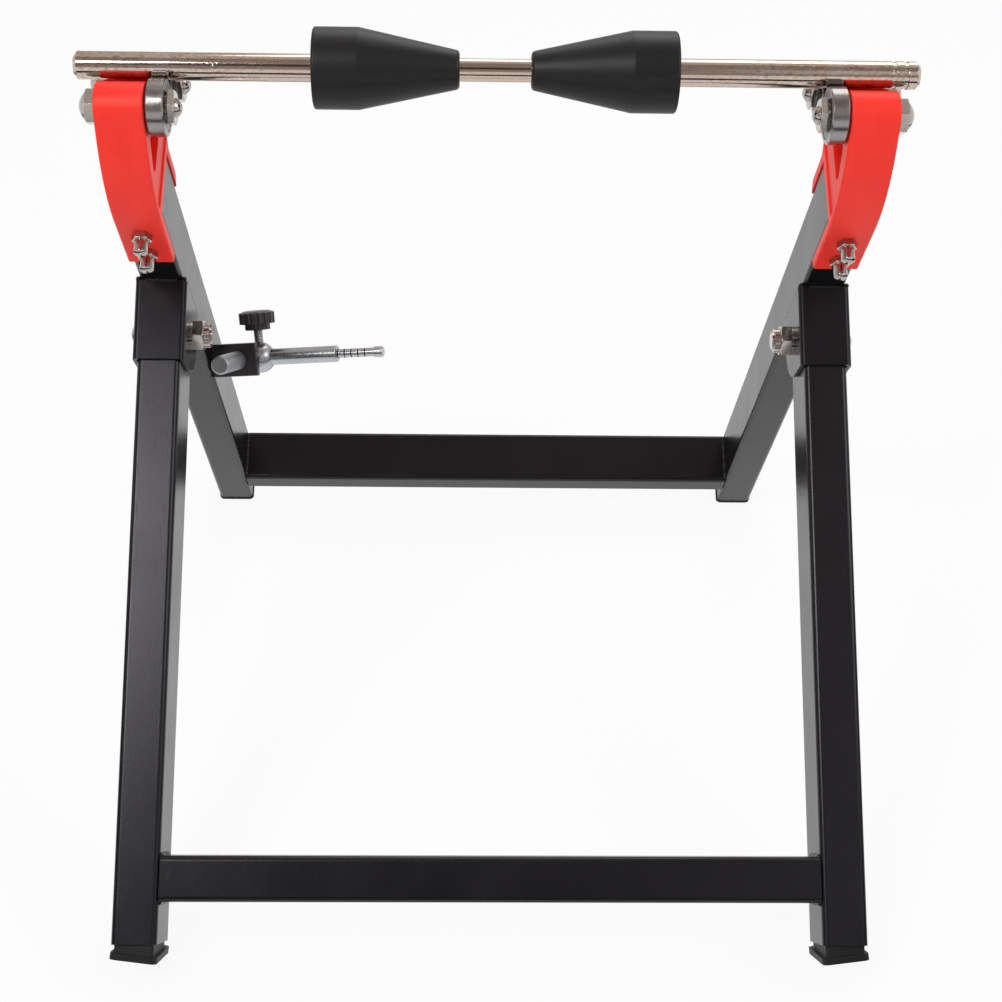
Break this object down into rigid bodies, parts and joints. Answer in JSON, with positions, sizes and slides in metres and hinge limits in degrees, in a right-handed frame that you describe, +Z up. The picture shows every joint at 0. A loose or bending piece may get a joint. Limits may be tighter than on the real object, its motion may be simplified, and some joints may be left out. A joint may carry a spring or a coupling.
{
  "type": "wheel truing and balancing stand",
  "caption": "Folding wheel truing and balancing stand: tube A-frame, forked arms with bearings, shaft with centring cones, and a sliding runout pointer.",
  "frame": {"origin": "centre of the bounding box on the floor under the four feet", "axes": "+Z up, +Y from the front crossbar to the rear one, +X along the shaft to the right of someone at the front"},
  "size_m": [0.44, 0.5034, 0.4556],
  "materials": {
    "frame_paint": "satin",
    "foot_plastic": "matt",
    "arm_paint": "satin",
    "bolt_chrome": "polished",
    "bearing_steel": "polished",
    "shaft_chrome": "polished",
    "zinc": "bright zinc plate",
    "cone_plastic": "matt",
    "knob_plastic": "matt"
  },
  "bodies": {
    "rear_frame": {"rear_leg_left": "frame_paint", "rear_leg_right": "frame_paint", "rear_bar": "frame_paint", "rear_cap_left": "foot_plastic", "rear_cap_right": "foot_plastic", "pivot_bracket_left": "frame_paint", "pivot_bracket_right": "frame_paint", "pivot_bolt_left": "bolt_chrome", "pivot_bolt_right": "bolt_chrome", "pivot_washer_left": "bolt_chrome", "pivot_washer_right": "bolt_chrome", "pivot_nut_left": "bolt_chrome", "pivot_nut_right": "bolt_chrome", "arm_left": "arm_paint", "arm_right": "arm_paint", "arm_studs_left": "bolt_chrome", "arm_studs_right": "bolt_chrome", "arm_nuts_left": "bolt_chrome", "arm_nuts_right": "bolt_chrome", "axle_bolts": "bolt_chrome", "axle_nuts": "bolt_chrome", "ring_spacers": "bolt_chrome", "inner_rings": "bearing_steel", "gauge_tab": "frame_paint", "gauge_boss": "zinc", "gauge_post": "zinc"},
    "front_frame": {"front_leg_left": "frame_paint", "front_leg_right": "frame_paint", "front_bar": "frame_paint", "front_cap_left": "foot_plastic", "front_cap_right": "foot_plastic"},
    "shaft": {"shaft": "shaft_chrome"},
    "cone_left": {"cone_left": "cone_plastic"},
    "cone_right": {"cone_right": "cone_plastic"},
    "ring_left_front": {"bearing_left_front": "bearing_steel"},
    "ring_left_rear": {"bearing_left_rear": "bearing_steel"},
    "ring_right_front": {"bearing_right_front": "bearing_steel"},
    "ring_right_rear": {"bearing_right_rear": "bearing_steel"},
    "balls_left_front": {"balls_left_front": "bearing_steel"},
    "balls_left_rear": {"balls_left_rear": "bearing_steel"},
    "balls_right_front": {"balls_right_front": "bearing_steel"},
    "balls_right_rear": {"balls_right_rear": "bearing_steel"},
    "gauge_holder": {"gauge_holder": "zinc"},
    "gauge_pin": {"gauge_pin": "zinc"},
    "gauge_knob": {"gauge_knob": "knob_plastic", "gauge_stud": "zinc"}
  },
  "joints": [
    {"name": "front_fold", "type": "hinge", "parent": "rear_frame", "child": "front_frame", "pos_m": [0, 0.02108, 0.25934], "axis": [1, 0, 0], "range_deg": [0, 79]},
    {"name": "shaft_spin", "type": "hinge", "parent": "rear_frame", "child": "shaft", "pos_m": [0, -0.00543, 0.43462], "axis": [1, 0, 0], "continuous": true},
    {"name": "cone_left_slide", "type": "slide", "parent": "shaft", "child": "cone_left", "axis": [-1, 0, 0], "range_m": [-0.014, 0.06]},
    {"name": "cone_right_slide", "type": "slide", "parent": "shaft", "child": "cone_right", "axis": [1, 0, 0], "range_m": [-0.014, 0.06]},
    {"name": "ring_left_front_spin", "type": "hinge", "parent": "rear_frame", "child": "ring_left_front", "pos_m": [-0.1758, -0.02123, 0.41846], "axis": [1, 0, 0], "continuous": true},
    {"name": "ring_left_rear_spin", "type": "hinge", "parent": "rear_frame", "child": "ring_left_rear", "pos_m": [-0.1758, 0.01037, 0.41846], "axis": [1, 0, 0], "continuous": true},
    {"name": "ring_right_front_spin", "type": "hinge", "parent": "rear_frame", "child": "ring_right_front", "pos_m": [0.1758, -0.02123, 0.41846], "axis": [1, 0, 0], "continuous": true},
    {"name": "ring_right_rear_spin", "type": "hinge", "parent": "rear_frame", "child": "ring_right_rear", "pos_m": [0.1758, 0.01037, 0.41846], "axis": [1, 0, 0], "continuous": true},
    {"name": "balls_left_front_spin", "type": "hinge", "parent": "rear_frame", "child": "balls_left_front", "pos_m": [-0.1758, -0.02123, 0.41846], "axis": [1, 0, 0], "continuous": true},
    {"name": "balls_left_rear_spin", "type": "hinge", "parent": "rear_frame", "child": "balls_left_rear", "pos_m": [-0.1758, 0.01037, 0.41846], "axis": [1, 0, 0], "continuous": true},
    {"name": "balls_right_front_spin", "type": "hinge", "parent": "rear_frame", "child": "balls_right_front", "pos_m": [0.1758, -0.02123, 0.41846], "axis": [1, 0, 0], "continuous": true},
    {"name": "balls_right_rear_spin", "type": "hinge", "parent": "rear_frame", "child": "balls_right_rear", "pos_m": [0.1758, 0.01037, 0.41846], "axis": [1, 0, 0], "continuous": true},
    {"name": "holder_slide", "type": "slide", "parent": "rear_frame", "child": "gauge_holder", "axis": [0.9621, -0.2036, 0.1812], "range_m": [-0.01, 0.01]},
    {"name": "pin_slide", "type": "slide", "parent": "gauge_holder", "child": "gauge_pin", "axis": [0.9621, -0.2036, 0.1812], "range_m": [-0.024, 0.008]},
    {"name": "knob_turn", "type": "hinge", "parent": "rear_frame", "child": "gauge_knob", "pos_m": [-0.15234, 0.10953, 0.21356], "axis": [-0.0807, 0.4222, 0.9029], "range_deg": [0, 360]}
  ],
  "couplings": [
    {"joint": "ring_left_front_spin", "follows": "shaft_spin", "ratio": -0.4867},
    {"joint": "ring_left_rear_spin", "follows": "shaft_spin", "ratio": -0.4867},
    {"joint": "ring_right_front_spin", "follows": "shaft_spin", "ratio": -0.4867},
    {"joint": "ring_right_rear_spin", "follows": "shaft_spin", "ratio": -0.4867},
    {"joint": "balls_left_front_spin", "follows": "shaft_spin", "ratio": -0.2972},
    {"joint": "balls_left_rear_spin", "follows": "shaft_spin", "ratio": -0.2972},
    {"joint": "balls_right_front_spin", "follows": "shaft_spin", "ratio": -0.2972},
    {"joint": "balls_right_rear_spin", "follows": "shaft_spin", "ratio": -0.2972}
  ]
}
